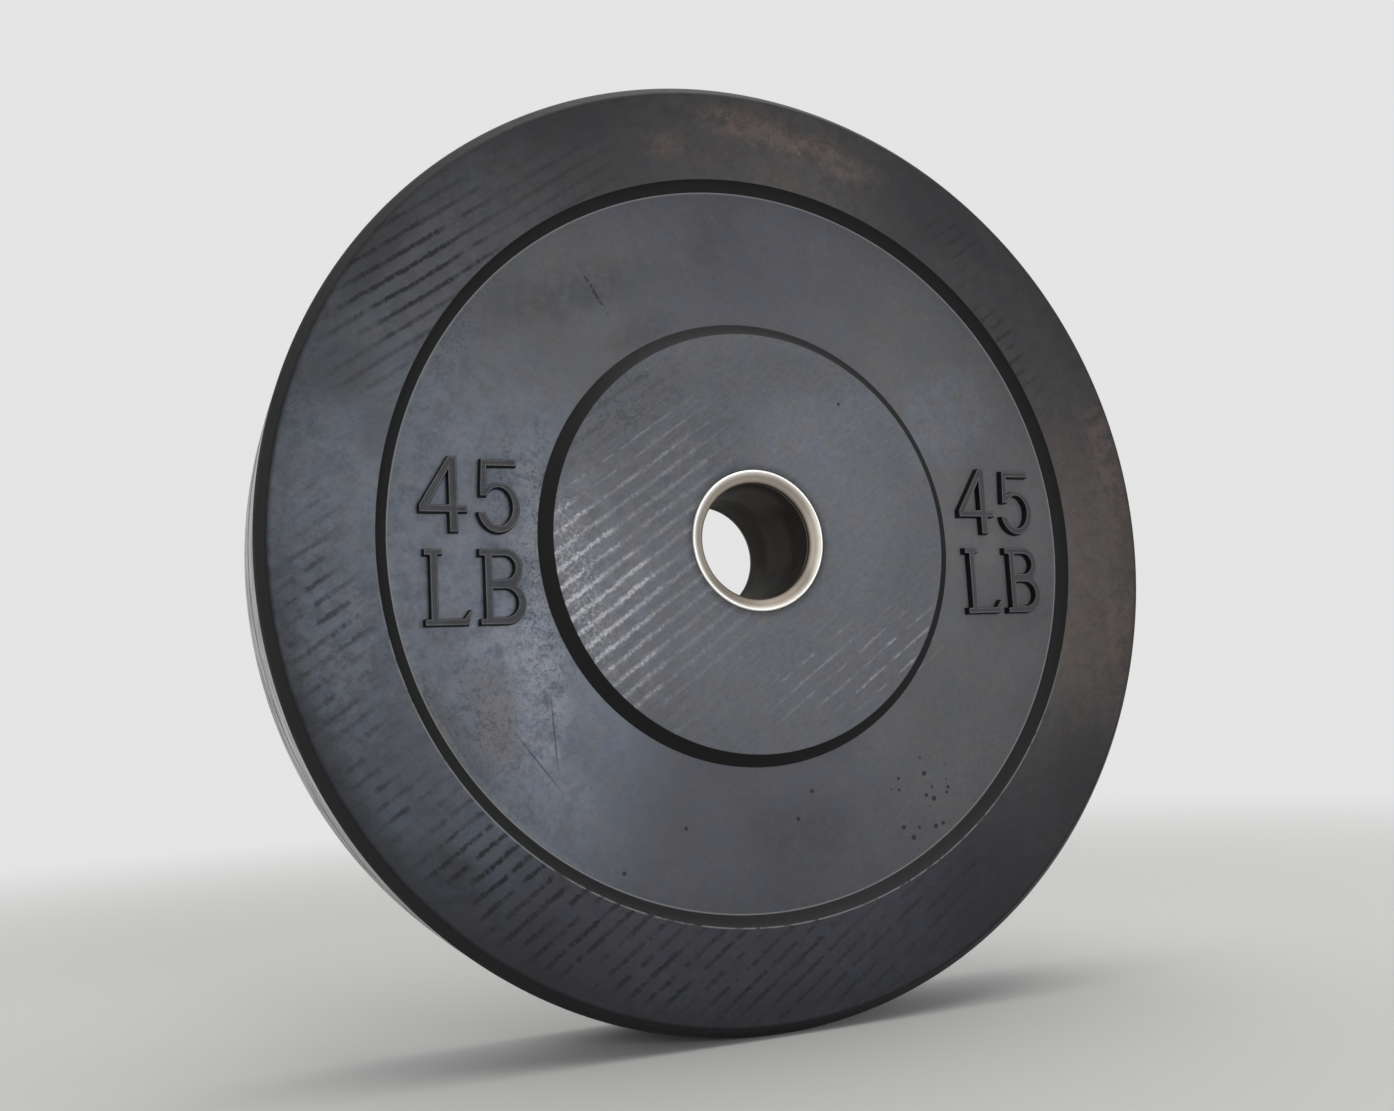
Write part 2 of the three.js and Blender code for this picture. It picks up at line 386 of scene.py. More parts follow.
def disc_profile():
    seat = RING_RADIUS + SEAT_GAP
    cavity = SLEEVE_RADIUS + CLEARANCE
    slot = FLANGE_LEVEL + CLEARANCE
    relief = WELD_LEG + 2 * CLEARANCE
    rear = [
        (TREAD_RADIUS + PARTING_RISE, PARTING_HALF_WIDTH * PARTING_TOP_SHARE, 0),
        (TREAD_RADIUS, PARTING_HALF_WIDTH, 0),
        (TREAD_RADIUS, TREAD_EDGE_LEVEL, TREAD_FILLET),
        (RIM_OUTER_RADIUS, RIM_LEVEL, RIM_FILLET),
        (RIM_INNER_RADIUS, RIM_LEVEL, RECESS_EDGE_FILLET),
        (MIDDLE_OUTER_RADIUS, MIDDLE_LEVEL, RECESS_FOOT_FILLET),
        (MIDDLE_INNER_RADIUS, MIDDLE_LEVEL, HUB_FOOT_FILLET),
        (HUB_FACE_RADIUS, HUB_LEVEL, HUB_FILLET),
        (seat + SEAT_BEVEL, HUB_LEVEL, SEAT_FILLET),
        (seat, HUB_LEVEL - SEAT_BEVEL, 0),
        (seat, SKIRT_END_LEVEL - CLEARANCE, 0),
        (cavity, SKIRT_END_LEVEL - CLEARANCE, 0),
        (cavity, slot + relief, 0),
        (cavity + relief, slot, 0),
        (FLANGE_RADIUS + CLEARANCE, slot, 0),
    ]
    return rounded_profile(both_halves(rear))


# Joins other closed meshes to a piece so that it is one body
def joined(name, data, others):
    piece = placed(name, data)
    helpers = []
    for other in others:
        helper = placed(other.name, other)
        step = piece.modifiers.new(other.name, "BOOLEAN")
        step.operation = "UNION"
        step.solver = "EXACT"
        step.object = helper
        helpers.append(helper)
    bpy.context.view_layer.update()
    evaluated = piece.evaluated_get(bpy.context.evaluated_depsgraph_get())
    result = bpy.data.meshes.new_from_object(evaluated)
    piece.modifiers.clear()
    piece.data = result
    for helper in helpers:
        bpy.data.objects.remove(helper)
    return piece


def make_rubber(material):
    disc = turned("rubber_disc", disc_profile(), DISC_SEGMENTS)
    piece = joined("moulded_rubber", disc, [marks_mesh(), plugs_mesh()])
    dress(piece, material, "rubber_body")


def make_sleeve(material):
    rear = [(SLEEVE_RADIUS, SLEEVE_END_LEVEL, 0), (BORE_RADIUS, SLEEVE_END_LEVEL, SLEEVE_EDGE_BREAK)]
    data = turned("bore_sleeve", rounded_profile(both_halves(rear)), STEEL_SEGMENTS)
    dress(placed("bore_sleeve", data), material, "insert_sleeve")


# A collar at an end of the bore: the front one with facing 1, the rear one with facing -1
def make_ring(name, node, facing, material):
    width = RING_RADIUS - BORE_RADIUS
    mouth = [
        (BORE_RADIUS + width * across, RING_TOP_LEVEL - RING_LEAD_DEPTH * down, fillet)
        for (across, down), fillet in zip(RING_MOUTH_SHARES, RING_MOUTH_FILLETS)
    ]
    inner = SLEEVE_RADIUS + CLEARANCE
    corners = [
        (RING_RADIUS, SKIRT_END_LEVEL, RING_SKIRT_FILLET),
        *mouth,
        (BORE_RADIUS, RING_LAND_LEVEL, 0),
        (inner, RING_LAND_LEVEL, 0),
        (inner, SKIRT_END_LEVEL, RING_SKIRT_FILLET),
    ]
    if facing > 0:
        corners = [(radius, -level, fillet) for radius, level, fillet in reversed(corners)]
    data = turned(name, rounded_profile(corners), STEEL_SEGMENTS)
    dress(placed(name, data), material, node)


def coat(piece, material):
    piece.data.materials.clear()
    piece.data.materials.append(material)


# Finishes a piece that takes the place of a node of the frame
def dress(piece, material, node):
    piece.data.shade_smooth()
    piece.data.set_sharp_from_angle(angle=math.radians(SHARP_ANGLE))
    coat(piece, material)
    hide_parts(node)
    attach(piece, "root")


# A node tree that is built in steps. Each step takes sockets and plain values alike.
class Nodes:
    def __init__(self, tree):
        self.tree = tree

    def add(self, kind, inputs, **settings):
        node = self.tree.nodes.new("ShaderNode" + kind)
        for name, value in settings.items():
            setattr(node, name, value)
        for name, value in inputs.items():
            self.feed(node.inputs[name], value)
        return node

    def feed(self, socket, value):
        if isinstance(value, bpy.types.NodeSocket):
            self.tree.links.new(value, socket)
        else:
            socket.default_value = value

    def math(self, operation, *values):
        return self.add("Math", dict(enumerate(values)), operation=operation).outputs[0]

    # One operation over any number of values, from the first to the last
    def chain(self, operation, total, *values):
        for value in values:
            total = self.math(operation, total, value)
        return total

    def plus(self, *values):
        return self.chain("ADD", *values)

    def times(self, *values):
        return self.chain("MULTIPLY", *values)

    def largest(self, *values):
        return self.chain("MAXIMUM", *values)

    def without(self, value):
        return self.math("SUBTRACT", 1, value)

    def distance(self, x, y):
        return self.math("SQRT", self.plus(self.times(x, x), self.times(y, y)))

    # A value from 0 to 1 moved to lie evenly round 0, and scaled
    def swing(self, value, size):
        return self.times(self.plus(value, -0.5), size)

    # Goes smoothly from 0 at low to 1 at high, where low may be the larger of the two
    def smooth(self, value, low, high):
        inputs = {"Value": value, "From Min": low, "From Max": high}
        return self.add("MapRange", inputs, interpolation_type="SMOOTHSTEP").outputs["Result"]

    # 1 in a band round a value, 0 outside it
    def band(self, value, middle, half, soft):
        off = self.math("ABSOLUTE", self.plus(value, -middle))
        return self.smooth(off, half + soft, half)

    def split(self, vector):
        node = self.add("SeparateXYZ", {"Vector": vector})
        return node.outputs["X"], node.outputs["Y"], node.outputs["Z"]

    def vector(self, x, y, z):
        return self.add("CombineXYZ", {"X": x, "Y": y, "Z": z}).outputs["Vector"]

    def mix(self, share, low, high):
        return self.add("Mix", {0: share, 2: low, 3: high}, data_type="FLOAT").outputs[0]

    def blend(self, share, low, high, method="MIX"):
        inputs = {0: share, 6: as_colour(low), 7: as_colour(high)}
        return self.add("Mix", inputs, data_type="RGBA", blend_type=method).outputs[2]

    def tinted(self, colour, tint):
        return self.blend(1, colour, tint, "MULTIPLY")

    # A ramp through [share, colour] stops
    def ramp(self, share, stops):
        node = self.add("ValToRGB", {"Fac": share})
        node.color_ramp.interpolation = "EASE"
        elements = node.color_ramp.elements
        while len(elements) < len(stops):
            elements.new(1)
        for element, (position, colour) in zip(elements, stops):
            element.position = position
            element.color = as_colour(colour)
        return node.outputs["Color"]


# The node tree of one material, with places in millimetres
class MaterialNodes(Nodes):
    def __init__(self, name):
        self.material = bpy.data.materials.new(name)
        self.material.use_nodes = True
        super().__init__(self.material.node_tree)
        self.shader = self.tree.nodes["Principled BSDF"]
        coordinates = self.add("TexCoord", {})
        self.normal = coordinates.outputs["Normal"]
        scaling = self.add("VectorMath", {0: coordinates.outputs["Object"]}, operation="SCALE")
        scaling.inputs["Scale"].default_value = 1 / MM
        self.place = scaling.outputs["Vector"]

    def set(self, **inputs):
        for name, value in inputs.items():
            self.feed(self.shader.inputs[name.replace("_", " ")], value)

    # Even noise from 0 to 1, with grains of about the given size in millimetres
    def noise(self, size, detail=2, roughness=0.5, place=None):
        inputs = {"Scale": 1 / size, "Detail": detail, "Roughness": roughness}
        return self.add("TexNoise", {"Vector": place or self.place, **inputs}).outputs[0]

    # Spots where a noise is high: nothing below the low value, full strength above the high one
    def spots(self, size, detail, roughness, low, high, place=None):
        return self.smooth(self.noise(size, detail, roughness, place), low, high)

    def bump(self, height):
        node = self.add("Bump", {"Height": height, "Distance": MM})
        self.tree.links.new(node.outputs["Normal"], self.shader.inputs["Normal"])


def as_colour(value):
    if isinstance(value, bpy.types.NodeSocket):
        return value
    if isinstance(value, (int, float)):
        return (value, value, value, 1)
    return (*value, 1)


# Edge of a patch, as shares of its size
PATCH_SOFT_SHARE = 0.6
PATCH_RAGGED_SHARE = 1.6


# Millimetres on a face of the plate: to the right as that face is seen upright, up, and out from the axis
class Face:
    def __init__(self, nodes):
        self.nodes = nodes
        x, y, z = nodes.split(nodes.place)
        front = nodes.math("SUBTRACT", 0, nodes.math("SIGN", y))
        self.right = nodes.times(x, front)
        self.up = z
        self.level = nodes.math("ABSOLUTE", y)
        self.flat = nodes.vector(self.right, 1, z)
        self.radius = nodes.distance(x, z)
        turn = nodes.math("ARCTAN2", z, self.right)
        self.turn_share = nodes.math("FRACT", nodes.math("DIVIDE", turn, 2 * math.pi))
        _, facing, self.tilt = nodes.split(nodes.normal)
        self.facing = nodes.math("ABSOLUTE", facing)
        self.ragged_edge = nodes.noise(*PATCH_NOISE)
        self.mottle = nodes.spots(*MOTTLES)

    # How far a place lies from a centre along an axis
    def away(self, centre, axis):
        level = -(centre[0] * axis[0] + centre[1] * axis[1])
        inputs = {0: self.flat, 1: (axis[0], level, axis[1])}
        return self.nodes.add("VectorMath", inputs, operation="DOT_PRODUCT").outputs["Value"]

    # A soft elliptical patch: 1 inside, 0 outside. The turn in degrees lifts its right end.
    def patch(self, centre, half, turn=0, soft=PATCH_SOFT_SHARE, ragged=PATCH_RAGGED_SHARE):
        nodes = self.nodes
        cosine, sine = math.cos(math.radians(turn)), math.sin(math.radians(turn))
        along = self.away(centre, (cosine / half[0], sine / half[0]))
        across = self.away(centre, (-sine / half[1], cosine / half[1]))
        square = nodes.math("MULTIPLY_ADD", along, along, nodes.times(across, across))
        reach = nodes.math("SQRT", square)
        if ragged:
            reach = nodes.plus(reach, nodes.swing(self.ragged_edge, ragged))
        return nodes.smooth(reach, 1 + soft, 1 - soft)

    # The strongest of several patches at each place
    def patches(self, table):
        strongest = 0
        for *shape, strength in table:
            mask = self.nodes.times(self.patch(*shape), strength)
            strongest = self.nodes.largest(strongest, mask)
        return strongest

    # 1 from one turn share to another
    def sector(self, beginning, end):
        nodes = self.nodes
        return nodes.times(nodes.smooth(self.turn_share, *beginning), nodes.smooth(self.turn_share, *end))

    # A thin straight stroke between two places
    def stroke(self, start, end, half_width):
        run, rise = end[0] - start[0], end[1] - start[1]
        centre = ((start[0] + end[0]) / 2, (start[1] + end[1]) / 2)
        half = (math.hypot(run, rise) / 2, half_width)
        return self.patch(centre, half, math.degrees(math.atan2(rise, run)), ragged=0)


# Rubber colours
WALL_RUBBER = (0.002, 0.002, 0.0022)
BEVEL_RUBBER = (0.012, 0.012, 0.0125)
HUB_WALL_RUBBER = (0.006, 0.006, 0.0065)
# Walls that face up, painted lighter as lit from above
UPLIT_WALL = (0.02, 0.02, 0.021)
TREAD_RUBBER = (0.012, 0.012, 0.0125)
TREAD_SCUFF = (0.036, 0.035, 0.034)
MARK_SIDE_RUBBER = (0.008, 0.008, 0.0085)
# Tops of the raised marks: a darker dish as painted shade and a lighter rim as painted highlight
SHADED_MARK_DISH = (0.038, 0.0385, 0.0435)
LIT_MARK_EDGE = (0.09, 0.0905, 0.096)
# Pale lines painted as highlights along the edges of the recess
EDGE_HIGHLIGHT = (0.2, 0.2, 0.205)
HUB_OUTER_RUBBER = (0.1, 0.102, 0.113)
HUB_INNER_RUBBER = (0.118, 0.122, 0.137)
MIDDLE_GREY = (0.088, 0.087, 0.093)
MIDDLE_PALE = (0.101, 0.096, 0.101)
MIDDLE_DARK = (0.073, 0.073, 0.083)
MIDDLE_BLUE = (0.117, 0.13, 0.158)
RIM_WARM = (0.06, 0.051, 0.047)
RIM_BROWN = (0.047, 0.042, 0.041)
RIM_DUSKY = (0.026, 0.025, 0.027)
RIM_GREY = (0.054, 0.055, 0.062)
RIM_HAZE = (0.055, 0.061, 0.076)
RIM_BLUE = (0.092, 0.103, 0.124)
RIM_PALE = (0.112, 0.124, 0.146)
RIM_DARK = (0.018, 0.018, 0.023)
RIM_COAL = (0.026, 0.026, 0.033)
# Pale bloom, also used as painted sheen where the window light falls on the left of the faces
BLOOM_AND_SHEEN = (0.21, 0.232, 0.28)
PALE_BLOOM_AND_SHEEN = (0.145, 0.155, 0.185)
PALE_HUB = (0.19, 0.195, 0.21)
# Dark smudges, also used as painted shade at the upper left of the collar
SMUDGE_AND_SHADE = (0.05, 0.05, 0.055)
BROWN = (0.084, 0.065, 0.057)
DULL_BROWN = (0.125, 0.119, 0.122)
# Soot for dark specks and stains, also used as painted shade on the rim's outer edge
SOOT_AND_SHADE = (0.012, 0.012, 0.016)
PRINT = (0.003, 0.003, 0.004)
GLINT = (0.42, 0.42, 0.45)
FLECK = (0.17, 0.14, 0.125)
WARM_CAST = (1.065, 1, 0.94)
COOL_CAST = (0.94, 1, 1.065)

# Colours round the turn of a face, as shares of a turn from the right and up. They hold painted light:
# paler and bluish on the left as painted sheen, darker low down as painted shade; the rest is the rubber's
# own tone.
RIM_STOPS = [
    (0, RIM_WARM), (0.09, RIM_DUSKY), (0.16, RIM_DUSKY), (0.22, RIM_BROWN), (0.31, RIM_DUSKY),
    (0.39, RIM_GREY), (0.48, RIM_BLUE), (0.55, RIM_HAZE), (0.61, RIM_HAZE), (0.66, RIM_COAL),
    (0.8, RIM_COAL), (0.84, RIM_DARK), (0.89, RIM_DUSKY), (0.95, RIM_WARM), (1, RIM_WARM),
]
MIDDLE_STOPS = [
    (0, MIDDLE_PALE), (0.07, MIDDLE_GREY), (0.14, MIDDLE_GREY), (0.22, MIDDLE_DARK), (0.27, MIDDLE_DARK),
    (0.36, MIDDLE_GREY), (0.47, MIDDLE_BLUE), (0.64, MIDDLE_BLUE), (0.7, MIDDLE_DARK), (0.78, MIDDLE_DARK),
    (0.86, MIDDLE_GREY), (0.96, MIDDLE_GREY), (1, MIDDLE_PALE),
]

# Stains of a face, and patches of painted sheen and painted shade: their centre and half their size in
# millimetres, their turn in degrees, their strength and, where they have one, their colour
STAINS_AND_PAINTED_LIGHT = [
    ((-110, -8), (14, 42), 0, 0.7, PALE_BLOOM_AND_SHEEN), ((-141, -22), (22, 50), 0, 0.55, PALE_BLOOM_AND_SHEEN),
    ((-194, -44), (20, 40), 0, 0.45, RIM_PALE), ((-147, -143), (22, 10), -44, 0.7, SOOT_AND_SHADE),
    ((134, 156), (16, 6), -50, 0.6, SOOT_AND_SHADE), ((-172, 124), (38, 6), 54, 0.4, SOOT_AND_SHADE),
    ((-174, 48), (7, 12), 0, 0.35, RIM_DUSKY), ((-30, 42), (34, 22), 38, 0.35, SMUDGE_AND_SHADE),
    ((-118, -46), (17, 18), 0, 0.65, BLOOM_AND_SHEEN), ((-108, -76), (13, 26), 8, 0.75, BLOOM_AND_SHEEN),
    ((-104, -114), (21, 16), 0, 0.7, PALE_BLOOM_AND_SHEEN), ((-127, -73), (11, 20), 10, 0.75, DULL_BROWN),
    ((-149, -84), (8, 30), 30, 0.7, MIDDLE_DARK), ((108, 62), (26, 20), 30, 0.4, PALE_BLOOM_AND_SHEEN),
    ((-84, 116), (36, 11), 20, 0.7, SMUDGE_AND_SHADE), ((-53, 98), (17, 6), 28, 0.6, SMUDGE_AND_SHADE),
    ((-12, 150), (13, 16), 0, 0.6, SMUDGE_AND_SHADE), ((15, -137), (28, 16), 0, 0.55, SMUDGE_AND_SHADE),
    ((14, 203), (34, 7), -11, 0.7, BROWN), ((57, 193), (19, 7), -22, 0.6, BROWN),
    ((206, 42), (9, 28), 9, 0.7, BROWN), ((207, -44), (8, 24), -10, 0.65, BROWN),
    ((-36, 190), (9, 6), 14, 0.4, BROWN), ((108, 172), (26, 16), -35, 0.5, SOOT_AND_SHADE),
    ((-82, 196), (22, 11), 23, 0.45, SOOT_AND_SHADE), ((-188, 72), (18, 13), 30, 0.45, RIM_DUSKY),
    ((-112, -176), (44, 14), -34, 0.5, SOOT_AND_SHADE), ((110, -164), (40, 16), 34, 0.5, SOOT_AND_SHADE),
    ((172, -116), (26, 12), 56, 0.45, SOOT_AND_SHADE), ((4, -208), (36, 8), 0, 0.35, SOOT_AND_SHADE),
    ((40, 58), (32, 22), 10, 0.45, PALE_BLOOM_AND_SHEEN), ((0, 80), (52, 12), 0, 0.5, MIDDLE_GREY),
    ((-80, -20), (24, 46), 8, 0.5, PALE_HUB),
]
SPECKLED = [
    ((-106, -32), (12, 44), 8, 0.7), ((-105, 24), (7, 24), -8, 0.7),
    ((-128, -78), (18, 36), 12, 0.5), ((-152, -74), (8, 34), 28, 0.5),
    ((-118, 24), (14, 26), 0, 0.5), ((-140, 92), (26, 10), 52, 0.5),
    ((-60, 66), (30, 14), 38, 0.5),
]
MARBLED = [
    ((-118, -6), (24, 54), 0, 0.7), ((-110, -78), (20, 34), 10, 0.6),
    ((-148, 10), (10, 60), 0, 0.35), ((-200, 10), (18, 50), 0, 0.35),
]
FLECKED = [
    ((24, 199), (44, 9), -17, 0.9), ((202, -10), (14, 70), 0, 0.35),
]

# Pits: where they cluster, its softness and raggedness after its turn, and where single ones lie
PITTED = ((82, -126), (18, 22), 0, 0.2, 0.4)
LONE_PITS = [(47, 67), (-42, -130), (-72, -147), (14, -130), (96, -121), (22, -118)]
LONE_PIT_RADIUS = 0.8
LONE_PIT_RAGGED_SHARE = 0.6

# Scratches: where each begins and ends, half its width and its strength
SCRATCHES = [((-118, -84), (-100, -108), 0.35, 0.6), ((-102, -68), (-100, -100), 0.35, 0.6)]
DASHED_SCRATCH = ((-80, 127), (-68, 107), 0.75, 0.8)

# Changes of tone across a zone of a face, between two distances from the axis. The first row is painted
# shade towards the rounded outer edge of the rim, the last two painted shade and dirt round the collar.
GRADIENTS = [
    ("rim", 198, 218, -0.3), ("rim", 197, 178, 0.18), ("middle", 138, 106, 0.14),
    ("middle", 146, 168, -0.1), ("hub", 41, 34, -0.1), ("hub", 37.5, 33.8, -0.4),
]

# Noises of the rubber: the size of their grain, their detail and their roughness
PATCH_NOISE = (16, 5, 0.65)
VEIN_NOISE = (9, 6, 0.7)
ROUGHNESS_NOISE = (3.4, 3)
FINE_NOISE = (1.1, 2)
COARSE_NOISE = (6, 2)

# Noises that change the tone of a face, each with how much it does
TONE_NOISES = [(48, 4, 0.6, 0.5), (3.4, 4, 0.75, 0.6), (1.6, 2, 0.6, 0.3)]

# Spots of the rubber: a noise, then the values between which it goes from nothing to full strength
MOTTLES = (7, 6, 0.78, 0.34, 0.6)
CASTS = (10, 6, 0.7, 0.3, 0.7)
FLECKS = (2.4, 3, 0.6, 0.62, 0.7)
SPECKS = (1.6, 3, 0.65, 0.53, 0.62)
BLOTS = (5, 5, 0.75, 0.53, 0.61)
CREASES = (1.7, 3, 0.8, 0.47, 0.6)
EDGE_BREAKS = (5, 3, 0.5, 0.3, 0.5)
PRINT_CLOUDS = (30, 3, 0.5, 0.4, 0.58)
SCRATCH_DASHES = (2.2, 1, 0.5, 0.42, 0.5)
SCUFFS = (1, 7, 0.68, 0.4, 0.72)

SCUFF_LENGTH = 30
SCUFF_WIDTH = 11
STREAK_LENGTH = 10
STREAK_WIDTH = 0.8
PIT_SPACING = 4.4
PIT_RADIUS = 1.3
PIT_EDGE = 0.05
VEIN_HALF_WIDTH = 0.06

# How strongly each kind of wear, stain and painted light shows
PATCH_GRAIN_LEAST = 0.25
PATCH_GRAIN_SWING = 0.95
VEIN_STRENGTH = 0.5
FLECK_STRENGTH = 0.6
EDGE_SHADE_STRENGTH = 0.7
RIM_EDGE_STRENGTH = 0.6
SPECK_STRENGTH = 0.75
PIT_STRENGTH = 0.85
CRINKLE_STRENGTH = 0.45
GLINT_LEAST = 0.7
FRINGE_STRENGTH = 0.5
EDGE_LINE_STRENGTH = 0.75
PRESSURE_LEAST = 0.6
HUB_STREAKS = 0.6
RIM_STREAKS = 0.4
MOTTLE_TONE = 0.3

# Relief and gloss of the rubber
FINE_HEIGHT = 0.03
COARSE_HEIGHT = 0.06
PRINT_HEIGHT = -0.12
PIT_HEIGHT = -0.25
ROUGHNESS = 0.55
ROUGHNESS_SWING = 0.2
GLINT_ROUGHNESS = -0.15
TREAD_ROUGHNESS = 0.17
SCUFF_ROUGHNESS = 0.36
RUBBER_SPECULAR = 0.22

# Zones of a face by distance from the axis: where each is nothing, and where it is full
RIM_ZONE = (MIDDLE_OUTER_RADIUS + 1.5, RIM_INNER_RADIUS)
RIM_EDGE = (RIM_OUTER_RADIUS - 2.6, RIM_OUTER_RADIUS + 0.4)
SHADED_RIM_EDGE = (RIM_OUTER_RADIUS - 12, RIM_OUTER_RADIUS)
BEVEL_ZONE = (RIM_OUTER_RADIUS - 1, RIM_OUTER_RADIUS + 1)
TREAD_ZONE = (TREAD_RADIUS - 1.2, TREAD_RADIUS - 0.4)
HUB_ZONE = (MIDDLE_INNER_RADIUS - 1.5, HUB_FACE_RADIUS)
HUB_WALL_ZONE = (MIDDLE_INNER_RADIUS + 2, MIDDLE_INNER_RADIUS)
HUB_CENTRE = (92, 48)

# Lines round a face: their distance from the axis, half their width and their softness
FOOT_LINE = (MIDDLE_OUTER_RADIUS - 0.3, 0.2, 0.25)
EDGE_LINE = (RIM_INNER_RADIUS + 0.2, 0.2, 0.25)
FRINGE_LINE = (MIDDLE_OUTER_RADIUS - 1.6, 0.6, 0.9)

# Where the top of a raised mark begins, as shares of its rise, how far a place has to face along the axis
# to count as flat, and how far up a wall has to face to be painted lighter, as lit from above
MARK_TOP_SHARES = (0.7, 0.9)
FLAT_FACING = (0.8, 0.99)
UPLIT_TILT = (0.1, 0.8)

# Sectors of a face, as shares of a turn: where they begin and end, or their middle, half and softness
SHADED_SECTOR_SHARES = [(0.5, 0.57), (0.78, 0.68)]
LOW_SECTOR_SHARES = [(0.5, 0.56), (0.97, 0.9)]
LEFT_SECTOR_SHARES = (0.52, 0.08, 0.08)
LOW_LEFT_SECTOR_SHARES = (0.58, 0.05, 0.06)

# The print of a ribbed liner on the raised faces: parallel lines that break into dashes
RIB_TURN = 35
RIB_PITCH = 6.9
RIB_WANDER = 2
RIB_WANDER_NOISE = (34, 3)
RIB_EDGE_NOISE = (2.4, 3, 0.65)
LINE_NOISE = (1, 2, 0.6)
LINE_APART = 3.7
STREAK_NOISE = (1, 3, 0.6)
DOT_LENGTH = 2.2
DOT_EDGE = (0.35, 0.5)
DOT_LEAST = 0.55

# Dashes: half their width, their softness and their length, the values of their noise between which they go
# from nothing to full strength, and how ragged they are
LONG_DASH = (0.95, 0.6, 19, 0.3, 0.44, 2.4)
SHORT_DASH = (1, 0.5, 10, 0.38, 0.5, 3.2)
GLINT_DASH = (0.8, 0.9, 26, 0.22, 0.52, 3.2)
THIN_GLINT_DASH = (0.4, 0.6, 14, 0.36, 0.55, 2)

# Places of the prints, and of those of their lines that carry painted glints
LONG_PRINTS = [
    ((-157, 120), (40, 24), 38, 1), ((-92, 166), (28, 13), 28, 0.45),
    ((-176, 78), (18, 14), 40, 0.4),
]
SHORT_PRINTS = [
    ((-196, -50), (17, 58), 8, 0.7), ((-110, -162), (78, 34), -38, 1),
    ((-24, -194), (80, 22), 0, 1), ((74, -178), (44, 18), 24, 0.5),
    ((147, 102), (9, 34), 36, 0.7), ((122, 158), (22, 10), -38, 0.5),
]
HUB_PRINTS = [
    ((-70, 52), (34, 14), 48, 0.4), ((-86, 4), (12, 30), 0, 0.25),
]
GLINTS = [
    ((-82, -26), (26, 40), 20, 1), ((-52, -10), (40, 56), 0, 0.22),
]
THIN_GLINTS = [
    ((68, -56), (30, 14), 38, 0.52), ((28, -62), (26, 14), 30, 0.3),
    ((-56, 34), (38, 20), 35, 0.35),
]
CRINKLED = ((-88, -20), (8, 34), 14)


class Ribs:
    def __init__(self, nodes, face):
        turn = math.radians(RIB_TURN)
        cosine, sine = math.cos(turn), math.sin(turn)
        self.nodes = nodes
        self.along = nodes.plus(nodes.times(face.right, cosine), nodes.times(face.up, sine))
        self.across = nodes.plus(nodes.times(face.right, -sine), nodes.times(face.up, cosine))
        wander = nodes.swing(nodes.noise(*RIB_WANDER_NOISE), RIB_WANDER)
        line = nodes.math("DIVIDE", nodes.plus(self.across, wander), RIB_PITCH)
        self.number = nodes.math("FLOOR", line)
        off = nodes.math("ABSOLUTE", nodes.plus(nodes.math("FRACT", line), -0.5))
        self.off_line = nodes.times(off, RIB_PITCH)
        self.edge = nodes.noise(*RIB_EDGE_NOISE)

    # Noise that runs along each line by itself, with grains of the given length
    def along_lines(self, length):
        nodes = self.nodes
        apart = nodes.times(self.number, LINE_APART)
        place = nodes.vector(nodes.math("DIVIDE", self.along, length), apart, 0)
        return nodes.noise(*LINE_NOISE, place)

    # How strongly the lines print: dashes of small dots, from nothing where their noise is faint
    def dashes(self, half_width, soft, length, faint, strong, ragged):
        nodes = self.nodes
        printed = nodes.smooth(self.along_lines(length), faint, strong)
        dots = nodes.mix(nodes.smooth(self.along_lines(DOT_LENGTH), *DOT_EDGE), DOT_LEAST, 1)
        reach = nodes.plus(self.off_line, nodes.swing(self.edge, ragged))
        return nodes.times(nodes.smooth(reach, half_width + soft, half_width - soft), printed, dots)

    # Fine even streaks along the lines
    def streaks(self):
        nodes = self.nodes
        along = nodes.math("DIVIDE", self.along, STREAK_LENGTH)
        across = nodes.math("DIVIDE", self.across, STREAK_WIDTH)
        return nodes.noise(*STREAK_NOISE, nodes.vector(along, across, 0))


# Where a place lies on a face of the disc: each share is 1 there and 0 elsewhere
class Zones:
    def __init__(self, nodes, face):
        self.rim = nodes.smooth(face.radius, *RIM_ZONE)
        self.hub = nodes.smooth(face.radius, *HUB_ZONE)
        self.middle = nodes.without(nodes.plus(self.rim, self.hub))
        low, top = [MIDDLE_LEVEL + share * MARK_RISE for share in MARK_TOP_SHARES]
        self.mark = nodes.times(self.middle, nodes.smooth(face.level, low, top))
        self.flat = nodes.smooth(face.facing, *FLAT_FACING)
        self.tread = nodes.smooth(face.radius, *TREAD_ZONE)


# Round pits, each in its own cell
def pits(nodes, face):
    cells = nodes.add("TexVoronoi", {"Vector": face.flat, "Scale": 1 / PIT_SPACING})
    size = nodes.times(nodes.split(cells.outputs["Color"])[0], PIT_RADIUS / PIT_SPACING)
    holes = nodes.smooth(nodes.math("SUBTRACT", cells.outputs["Distance"], size), PIT_EDGE, -PIT_EDGE)
    holes = nodes.times(holes, face.patch(*PITTED))
    for centre in LONE_PITS:
        half = (LONE_PIT_RADIUS, LONE_PIT_RADIUS)
        holes = nodes.largest(holes, face.patch(centre, half, ragged=LONE_PIT_RAGGED_SHARE))
    return holes


